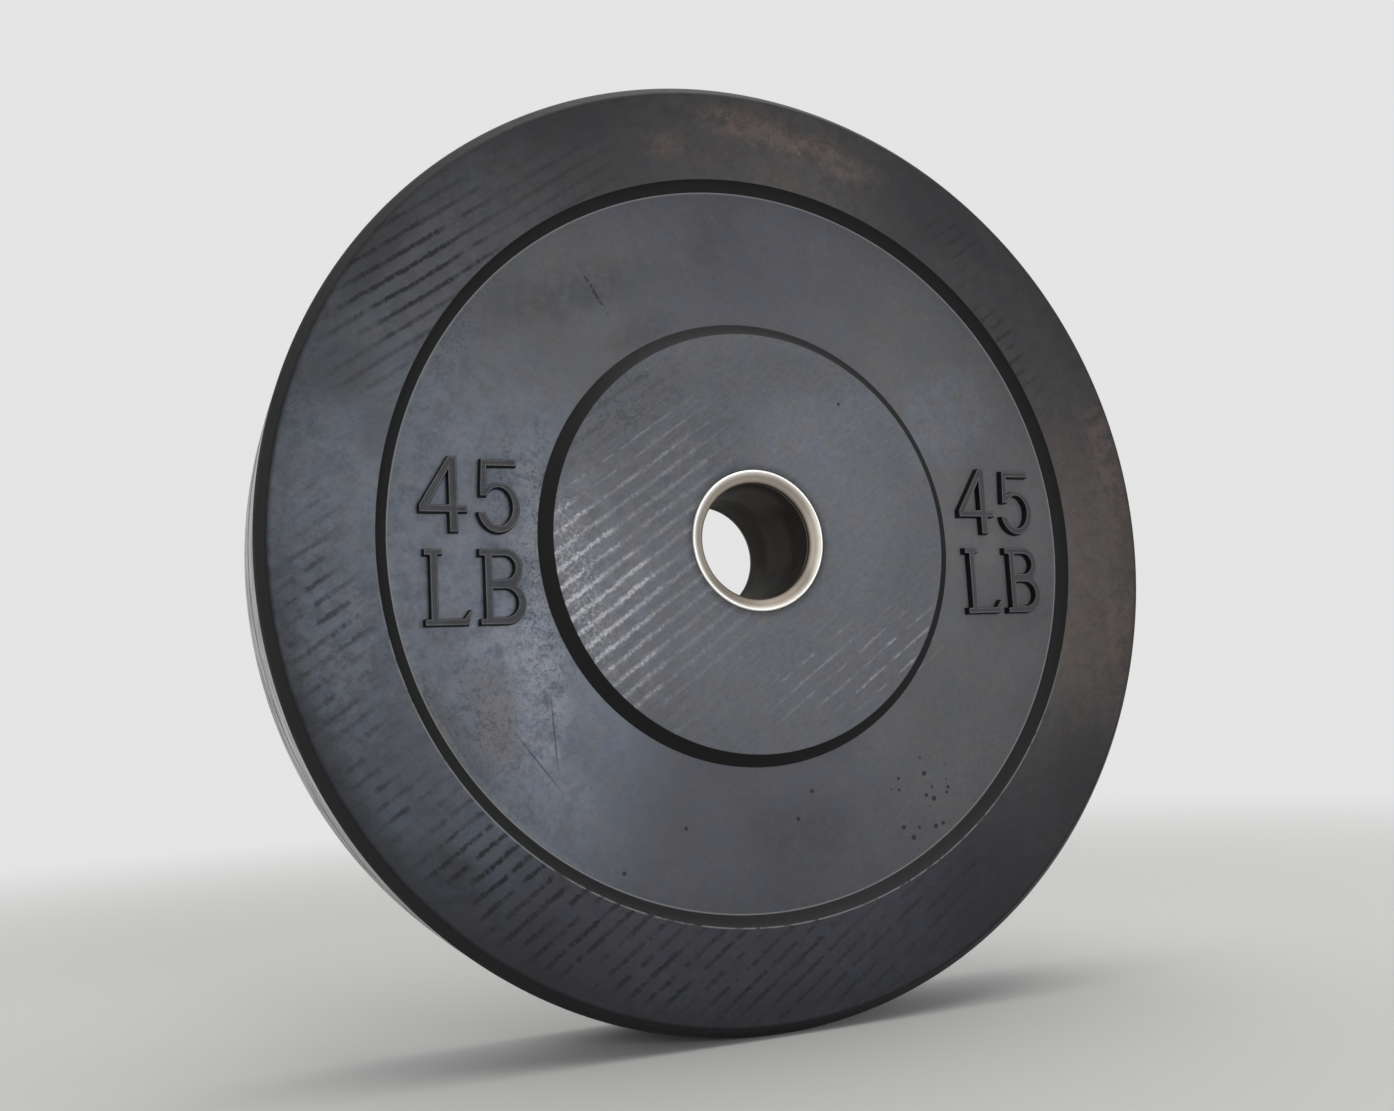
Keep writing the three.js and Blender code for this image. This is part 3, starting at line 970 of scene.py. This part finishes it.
# The colour of a face before its prints, scratches and pits
def ground_colour(nodes, face, zones):
    inner = nodes.smooth(face.radius, *HUB_CENTRE)
    hub = nodes.blend(inner, HUB_OUTER_RUBBER, HUB_INNER_RUBBER)
    # The ramps round the turn paint sheen on the left and shade low down
    colour = nodes.blend(zones.hub, nodes.ramp(face.turn_share, MIDDLE_STOPS), hub)
    colour = nodes.blend(zones.rim, colour, nodes.ramp(face.turn_share, RIM_STOPS))
    # Stains, and patches of painted sheen and painted shade
    for *shape, strength, tint in STAINS_AND_PAINTED_LIGHT:
        place = face.patch(*shape)
        grain = nodes.plus(PATCH_GRAIN_LEAST, nodes.times(face.mottle, PATCH_GRAIN_SWING))
        colour = nodes.blend(nodes.times(place, strength, grain), colour, tint)
    colour = nodes.blend(nodes.times(veins(nodes, face), VEIN_STRENGTH), colour, PALE_BLOOM_AND_SHEEN)
    colour = nodes.blend(nodes.times(flecks(nodes, face), FLECK_STRENGTH), colour, FLECK)
    # Painted shade on the rounded outer edge of the rim, all round and wider low on the left
    rim_shade = nodes.times(painted_edge_shade(nodes, face), EDGE_SHADE_STRENGTH)
    edge = nodes.times(nodes.smooth(face.radius, *RIM_EDGE), RIM_EDGE_STRENGTH)
    return nodes.blend(nodes.largest(rim_shade, edge), colour, SOOT_AND_SHADE)


# Painted shade on the outermost part of the rim low on the left, where the liner's prints are also gone
def painted_edge_shade(nodes, face):
    outermost = nodes.smooth(face.radius, *SHADED_RIM_EDGE)
    return nodes.times(outermost, face.sector(*SHADED_SECTOR_SHARES))


# Pale branching lines in the bloom and its painted sheen
def veins(nodes, face):
    ridges = nodes.math("ABSOLUTE", nodes.plus(nodes.noise(*VEIN_NOISE), -0.5))
    return nodes.times(nodes.smooth(ridges, VEIN_HALF_WIDTH, 0), face.patches(MARBLED))


# Small pale flecks in the brown stains
def flecks(nodes, face):
    return nodes.times(nodes.spots(*FLECKS), face.patches(FLECKED))


# The change of tone across the zones of a face
def gradient(nodes, face, zones):
    total = 0
    for zone, near, far, change in GRADIENTS:
        reach = nodes.smooth(face.radius, near, far)
        total = nodes.plus(total, nodes.times(reach, getattr(zones, zone), change))
    return total


# Uneven tone and cast in clouds, grains, specks and streaks
def uneven(nodes, colour, face, zones, ribs):
    left = nodes.band(face.turn_share, *LEFT_SECTOR_SHARES)
    tone = nodes.plus(gradient(nodes, face, zones), 1)
    for size, detail, roughness, change in TONE_NOISES:
        tone = nodes.plus(tone, nodes.swing(nodes.noise(size, detail, roughness), change))
    streaked = nodes.plus(nodes.times(zones.hub, HUB_STREAKS), nodes.times(zones.rim, RIM_STREAKS))
    tone = nodes.plus(tone, nodes.times(nodes.swing(ribs.streaks(), 1), streaked))
    mottled = nodes.plus(zones.rim, nodes.times(zones.middle, left))
    tone = nodes.plus(tone, nodes.times(nodes.swing(face.mottle, MOTTLE_TONE), mottled))
    colour = nodes.tinted(colour, nodes.vector(tone, tone, tone))
    return nodes.tinted(colour, nodes.blend(nodes.spots(*CASTS), WARM_CAST, COOL_CAST))


# Painted edge highlights: thin pale lines at the foot of the recess wall and along its upper edge
def edge_highlights(nodes, face):
    foot = nodes.band(face.radius, *FOOT_LINE)
    edge = nodes.band(face.radius, *EDGE_LINE)
    low_side = face.sector(*LOW_SECTOR_SHARES)
    broken = nodes.spots(*EDGE_BREAKS)
    fringe = nodes.band(face.radius, *FRINGE_LINE)
    low_left = nodes.band(face.turn_share, *LOW_LEFT_SECTOR_SHARES)
    broken_edge = nodes.times(edge, low_side, broken)
    return nodes.largest(foot, broken_edge, nodes.times(fringe, low_left, face.mottle, FRINGE_STRENGTH))


# Where the tread is scuffed, in streaks that run round it
def scuffs(nodes):
    scale = (1 / SCUFF_LENGTH, 1 / SCUFF_WIDTH, 1 / SCUFF_LENGTH)
    place = nodes.add("VectorMath", {0: nodes.place, 1: scale}, operation="MULTIPLY")
    return nodes.spots(*SCUFFS, place.outputs["Vector"])


# The walls between the flat faces, and the tread: those that look up are painted lighter, as lit from above
def wall_colour(nodes, face, zones, worn):
    bevel = nodes.smooth(face.radius, *BEVEL_ZONE)
    hub_wall = nodes.smooth(face.radius, *HUB_WALL_ZONE)
    colour = nodes.blend(bevel, WALL_RUBBER, BEVEL_RUBBER)
    colour = nodes.blend(hub_wall, colour, HUB_WALL_RUBBER)
    # Painted light on the walls that face up
    colour = nodes.blend(nodes.smooth(face.tilt, *UPLIT_TILT), colour, UPLIT_WALL)
    colour = nodes.blend(zones.tread, colour, nodes.blend(worn, TREAD_RUBBER, TREAD_SCUFF))
    return nodes.blend(zones.middle, colour, MARK_SIDE_RUBBER)


# Dark dashes that the liner left, faint where it pressed unevenly and gone under the painted shade of the
# rim's edge
def liner_prints(nodes, face, zones, ribs):
    long_dashes = ribs.dashes(*LONG_DASH)
    uneven_pressure = nodes.mix(nodes.spots(*PRINT_CLOUDS), PRESSURE_LEAST, 1)
    pressure = nodes.times(uneven_pressure, nodes.without(painted_edge_shade(nodes, face)))
    return nodes.largest(
        nodes.times(zones.rim, long_dashes, face.patches(LONG_PRINTS)),
        nodes.times(zones.rim, ribs.dashes(*SHORT_DASH), face.patches(SHORT_PRINTS), pressure),
        nodes.times(zones.hub, long_dashes, face.patches(HUB_PRINTS)),
    )


# Painted glints: pale dashes and crinkles along the print of the liner, which is also made glossier there
def glossy_ribs_with_painted_glints(nodes, face, zones, ribs):
    creases = nodes.spots(*CREASES)
    crinkles = nodes.times(creases, face.patch(*CRINKLED), CRINKLE_STRENGTH)
    creased = nodes.plus(GLINT_LEAST, creases)
    broad_glints = nodes.times(ribs.dashes(*GLINT_DASH), face.patches(GLINTS), creased)
    return nodes.largest(
        nodes.times(zones.hub, nodes.plus(broad_glints, crinkles)),
        nodes.times(ribs.dashes(*THIN_GLINT_DASH), face.patches(THIN_GLINTS)),
    )


def scratched(nodes, colour, face):
    for *line, strength in SCRATCHES:
        colour = nodes.blend(nodes.times(face.stroke(*line), strength), colour, WALL_RUBBER)
    dashes = nodes.spots(*SCRATCH_DASHES)
    *line, strength = DASHED_SCRATCH
    return nodes.blend(nodes.times(face.stroke(*line), dashes, strength), colour, WALL_RUBBER)


def make_rubber_material():
    nodes = MaterialNodes("rubber")
    face = Face(nodes)
    zones = Zones(nodes, face)
    ribs = Ribs(nodes, face)
    prints = liner_prints(nodes, face, zones, ribs)
    glints = glossy_ribs_with_painted_glints(nodes, face, zones, ribs)
    holes = pits(nodes, face)
    specks = nodes.largest(nodes.spots(*SPECKS), nodes.spots(*BLOTS))
    specks = nodes.times(specks, face.patches(SPECKLED))
    # The dish of a mark's top is painted in shade and its raised rim in highlight
    top = nodes.smooth(face.level, MIDDLE_LEVEL + MARK_RISE - MARK_DISH / 2, MIDDLE_LEVEL + MARK_RISE)
    mark = nodes.blend(top, SHADED_MARK_DISH, LIT_MARK_EDGE)
    colour = nodes.blend(zones.mark, ground_colour(nodes, face, zones), mark)
    colour = uneven(nodes, colour, face, zones, ribs)
    colour = nodes.blend(nodes.times(specks, SPECK_STRENGTH), colour, SOOT_AND_SHADE)
    colour = nodes.blend(nodes.times(holes, PIT_STRENGTH), colour, WALL_RUBBER)
    colour = nodes.blend(prints, colour, PRINT)
    # Painted glints on the print of the liner
    colour = nodes.blend(glints, colour, GLINT)
    colour = scratched(nodes, colour, face)
    worn = scuffs(nodes)
    colour = nodes.blend(zones.flat, wall_colour(nodes, face, zones, worn), colour)
    # Painted highlights along the edges of the recess
    colour = nodes.blend(nodes.times(edge_highlights(nodes, face), EDGE_LINE_STRENGTH), colour, EDGE_HIGHLIGHT)

    roughness = nodes.plus(
        ROUGHNESS,
        nodes.swing(nodes.noise(*ROUGHNESS_NOISE), ROUGHNESS_SWING),
        nodes.times(glints, GLINT_ROUGHNESS),
    )
    roughness = nodes.mix(zones.tread, roughness, nodes.mix(worn, TREAD_ROUGHNESS, SCUFF_ROUGHNESS))
    height = nodes.plus(
        nodes.times(nodes.noise(*FINE_NOISE), FINE_HEIGHT),
        nodes.times(nodes.noise(*COARSE_NOISE), COARSE_HEIGHT),
        nodes.times(prints, PRINT_HEIGHT),
        nodes.times(holes, PIT_HEIGHT),
    )
    nodes.bump(height)
    nodes.set(Base_Color=colour, Roughness=roughness, Specular_IOR_Level=RUBBER_SPECULAR)
    return nodes.material


# Steels: the colour of each, the colour of its stains, and how rough, how metallic and how glossy it is
BRIGHT_STEEL = ((1, 1, 1), (0.9, 0.89, 0.87), 0.4, 0.6, 0.5)
DARK_STEEL = ((0.031, 0.026, 0.0195), (0.017, 0.014, 0.0105), 0.55, 0, 0.06)
PLAIN_STEEL = ((0.3, 0.31, 0.32), (0.2, 0.19, 0.18), 0.5, 1, 0.5)
REFLECTED_STEEL = (0.085, 0.073, 0.058)

# Nodes inside the rubber, whose solids keep their plain form
PLAIN_NODES = ("anchor_flange", "rear_weld_bead", "front_weld_bead")

# Grain of the steels: noises, how much they change the tone and the gloss, and their height
LATHE_NOISE = (0.35, 2, 0.6)
LATHE_TONE = 0.12
LATHE_HEIGHT = 0.012
STEEL_CLOUD_NOISE = (14, 3)
STEEL_STAIN_EDGE = (0.35, 0.7)
STEEL_GLOSS_SWING = 0.15
STEEL_SPECK_NOISE = (1.6, 3)
STEEL_SPECK_TONE = 0.1
STEEL_GRAIN_NOISE = (0.8, 2)
STEEL_GRAIN_HEIGHT = 0.006

# Colours of a collar by distance from the axis, from its brown inner edge to its bright outer bead, whose
# brightness is partly a painted highlight
COLLAR_COLOURS = [
    (27.5, (0.07, 0.052, 0.038)), (27.9, (0.16, 0.13, 0.105)), (28.4, (0.33, 0.29, 0.245)),
    (29.1, (0.41, 0.366, 0.315)), (30.2, (0.37, 0.33, 0.285)), (31, (0.44, 0.4, 0.35)),
    (31.6, (0.62, 0.58, 0.53)), (32.3, (0.82, 0.795, 0.755)), (33.5, (0.87, 0.855, 0.82)),
]
COLLAR_LOW_TINT = (0.68, 0.66, 0.64)
COLLAR_SHINE = (1.6, 1.6, 1.6)

# Where the cone of a collar begins, where it grows darker towards the bottom and where its painted reflection
# lies, in millimetres
COLLAR_CONE = (32.3, 31.6)
DARKER_LEVELS = (-8, -26)
REFLECTION_PLACES = (24, 31)
RIGHT_SIDE = (0, -1)

# Painted reflections on the bore wall, as paler places: a turn in degrees from the right and half the width
# of the place, a level along the axis and half its length
BORE_REFLECTIONS = [(66, 17, -9, 10), (6, 20, -1, 9), (205, 18, 8, 6)]


# A collar is bright at its outer bead, partly as painted highlight, dull in its cone, darker towards the
# bottom, and brighter on the right with a painted reflection
def collar_with_painted_light(nodes, colour, place):
    first, last = COLLAR_COLOURS[0][0], COLLAR_COLOURS[-1][0]
    share = nodes.math("DIVIDE", nodes.plus(place["radius"], -first), last - first)
    stops = [((radius - first) / (last - first), tint) for radius, tint in COLLAR_COLOURS]
    colour = nodes.tinted(colour, nodes.ramp(share, stops))
    cone = nodes.smooth(place["radius"], *COLLAR_CONE)
    low = nodes.times(nodes.smooth(place["z"], *DARKER_LEVELS), cone)
    colour = nodes.blend(low, colour, nodes.tinted(colour, COLLAR_LOW_TINT))
    aside = nodes.times(nodes.smooth(nodes.math("ABSOLUTE", place["x"]), *REFLECTION_PLACES), cone)
    # The right of the front face and of the rear one is where x and y differ in sign
    right = nodes.times(aside, nodes.smooth(nodes.times(place["x"], place["y"]), *RIGHT_SIDE))
    # A painted reflection brightens the right side of the cone
    return nodes.blend(right, colour, nodes.tinted(colour, COLLAR_SHINE))


# Paints paler reflections on the bore wall
def bore_with_painted_reflections(nodes, colour, place):
    for degrees, half_degrees, level, half_length in BORE_REFLECTIONS:
        right, up = math.cos(math.radians(degrees)), math.sin(math.radians(degrees))
        reach = nodes.plus(nodes.times(place["x"], right), nodes.times(place["z"], up))
        towards = nodes.math("DIVIDE", reach, place["radius"])
        across = nodes.smooth(towards, math.cos(math.radians(2 * half_degrees)), 1)
        along = nodes.band(place["y"], level, half_length, half_length)
        colour = nodes.blend(nodes.times(across, along), colour, REFLECTED_STEEL)
    return colour


# A turned steel, whose finish changes its colour further
def make_steel_material(name, colour, stain, roughness, metallic, specular, finish=None):
    nodes = MaterialNodes(name)
    x, y, z = nodes.split(nodes.place)
    radius = nodes.distance(x, z)
    lathe_lines = nodes.noise(*LATHE_NOISE, nodes.vector(radius, y, 0))
    clouds = nodes.noise(*STEEL_CLOUD_NOISE)
    specks = nodes.noise(*STEEL_SPECK_NOISE)
    grain = nodes.noise(*STEEL_GRAIN_NOISE)
    stained = nodes.blend(nodes.smooth(clouds, *STEEL_STAIN_EDGE), colour, stain)
    tone = nodes.plus(1, nodes.swing(lathe_lines, LATHE_TONE), nodes.swing(specks, STEEL_SPECK_TONE))
    stained = nodes.tinted(stained, nodes.vector(tone, tone, tone))
    if finish:
        stained = finish(nodes, stained, {"x": x, "y": y, "z": z, "radius": radius})
    nodes.bump(nodes.plus(nodes.times(lathe_lines, LATHE_HEIGHT), nodes.times(grain, STEEL_GRAIN_HEIGHT)))
    rough = nodes.plus(roughness, nodes.swing(clouds, STEEL_GLOSS_SWING))
    nodes.set(Base_Color=stained, Roughness=rough, Metallic=metallic, Specular_IOR_Level=specular)
    return nodes.material


# Stage, metres
BACKDROP = 0.78
FRONT_ROOM = 0.2
FRONT_EDGE = -0.35
BACK_EDGE = 0.25
FLOOR_COLOUR = (0.66, 0.66, 0.65)
FLOOR_ROUGHNESS = 0.9
FLOOR_SPECULAR = 0.1
FLOOR_FADE_START = 0.45
FLOOR_FADE_END = 1.5
FLOOR_RADIUS = 9

# Lamps: the name, place, width and height, power in watts and colour of each
LAMPS = [
    ("window", (0.62, -2.3, 0.24), (1, 0.8), 25, (0.94, 0.97, 1)),
    ("ceiling", (0.2, -0.4, 2.2), (2, 2), 26, (1, 0.98, 0.95)),
]


# 1 for the rays that show the plain background as it is: seen, mirrored or through something clear
def background_rays(nodes):
    path = nodes.add("LightPath", {}).outputs
    return nodes.largest(path["Is Camera Ray"], path["Is Glossy Ray"], path["Is Transmission Ray"])


def make_floor():
    mesh = bmesh.new()
    bmesh.ops.create_circle(mesh, cap_ends=True, segments=FLOOR_SEGMENTS, radius=FLOOR_RADIUS)
    bmesh.ops.translate(mesh, verts=mesh.verts, vec=(0, 0, cad_low.z))
    floor = placed("floor", finished_mesh("floor", mesh))
    nodes = MaterialNodes("floor")
    colour = as_colour(FLOOR_COLOUR)
    nodes.set(Base_Color=colour, Roughness=FLOOR_ROUGHNESS, Specular_IOR_Level=FLOOR_SPECULAR)
    away = nodes.add("VectorMath", {0: nodes.place}, operation="LENGTH").outputs["Value"]
    fade = nodes.smooth(away, FLOOR_FADE_START / MM, FLOOR_FADE_END / MM)
    glow = nodes.add("Emission", {"Color": as_colour(BACKDROP)}).outputs[0]
    share = nodes.times(fade, background_rays(nodes))
    mixed = nodes.add("MixShader", {0: share, 1: nodes.shader.outputs[0], 2: glow})
    nodes.tree.links.new(mixed.outputs[0], nodes.tree.nodes["Material Output"].inputs["Surface"])
    floor.data.materials.append(nodes.material)


# A plain studio all round: it lights the plate from behind and above more than from the front
def make_world():
    world = bpy.data.worlds.new("studio")
    bpy.context.scene.world = world
    world.use_nodes = True
    nodes = Nodes(world.node_tree)
    direction = nodes.add("TexCoord", {}).outputs["Generated"]
    behind = nodes.smooth(nodes.split(direction)[1], FRONT_EDGE, BACK_EDGE)
    room = nodes.mix(behind, FRONT_ROOM, BACKDROP)
    shown = nodes.mix(background_rays(nodes), room, BACKDROP)
    nodes.tree.links.new(shown, nodes.tree.nodes["Background"].inputs["Color"])


# A soft lamp that looks at the middle of the plate
def make_lamp(name, place, size, power, colour):
    data = bpy.data.lights.new(name, "AREA")
    data.shape = "RECTANGLE"
    data.size, data.size_y = size
    data.energy = power
    data.color = colour
    lamp = bpy.data.objects.new(name, data)
    bpy.context.scene.collection.objects.link(lamp)
    lamp.location = place
    lamp.rotation_euler = (-Vector(place)).to_track_quat("-Z", "Y").to_euler()


make_camera()
rubber = make_rubber_material()
bright_steel = make_steel_material("bright_steel", *BRIGHT_STEEL, collar_with_painted_light)
dark_steel = make_steel_material("dark_steel", *DARK_STEEL, bore_with_painted_reflections)
plain_steel = make_steel_material("plain_steel", *PLAIN_STEEL)
make_rubber(rubber)
make_sleeve(dark_steel)
make_ring("front_collar", "front_lip_ring", 1, bright_steel)
make_ring("rear_collar", "rear_lip_ring", -1, bright_steel)
for node in PLAIN_NODES:
    coat(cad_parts[node], plain_steel)
make_floor()
make_world()
for lamp in LAMPS:
    make_lamp(*lamp)
bpy.context.scene.view_settings.view_transform = "Standard"
